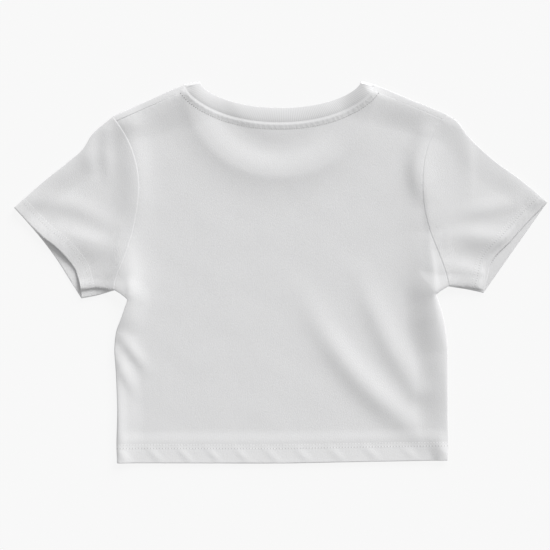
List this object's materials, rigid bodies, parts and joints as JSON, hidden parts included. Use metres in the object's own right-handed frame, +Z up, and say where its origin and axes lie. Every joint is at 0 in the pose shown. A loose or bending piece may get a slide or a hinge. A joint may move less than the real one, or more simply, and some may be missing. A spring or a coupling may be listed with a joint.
{
  "type": "crop top",
  "caption": "Short-sleeved jersey crop top with a ribbed crew neckband, laid flat with its back upwards.",
  "frame": {"origin": "middle of the garment's outline, on the surface it lies on", "axes": "+Z up off the surface and out of the back; +X towards the wearer's right sleeve as laid, +Y from the hem towards the neck"},
  "size_m": [0.5768, 0.4134, 0.0086],
  "materials": {
    "jersey": "white cotton jersey",
    "rib": "white cotton rib"
  },
  "bodies": {
    "root": {"front_panel": "jersey", "back_panel": "jersey", "left_sleeve": "jersey", "right_sleeve": "jersey", "neckband": "rib"}
  },
  "joints": []
}
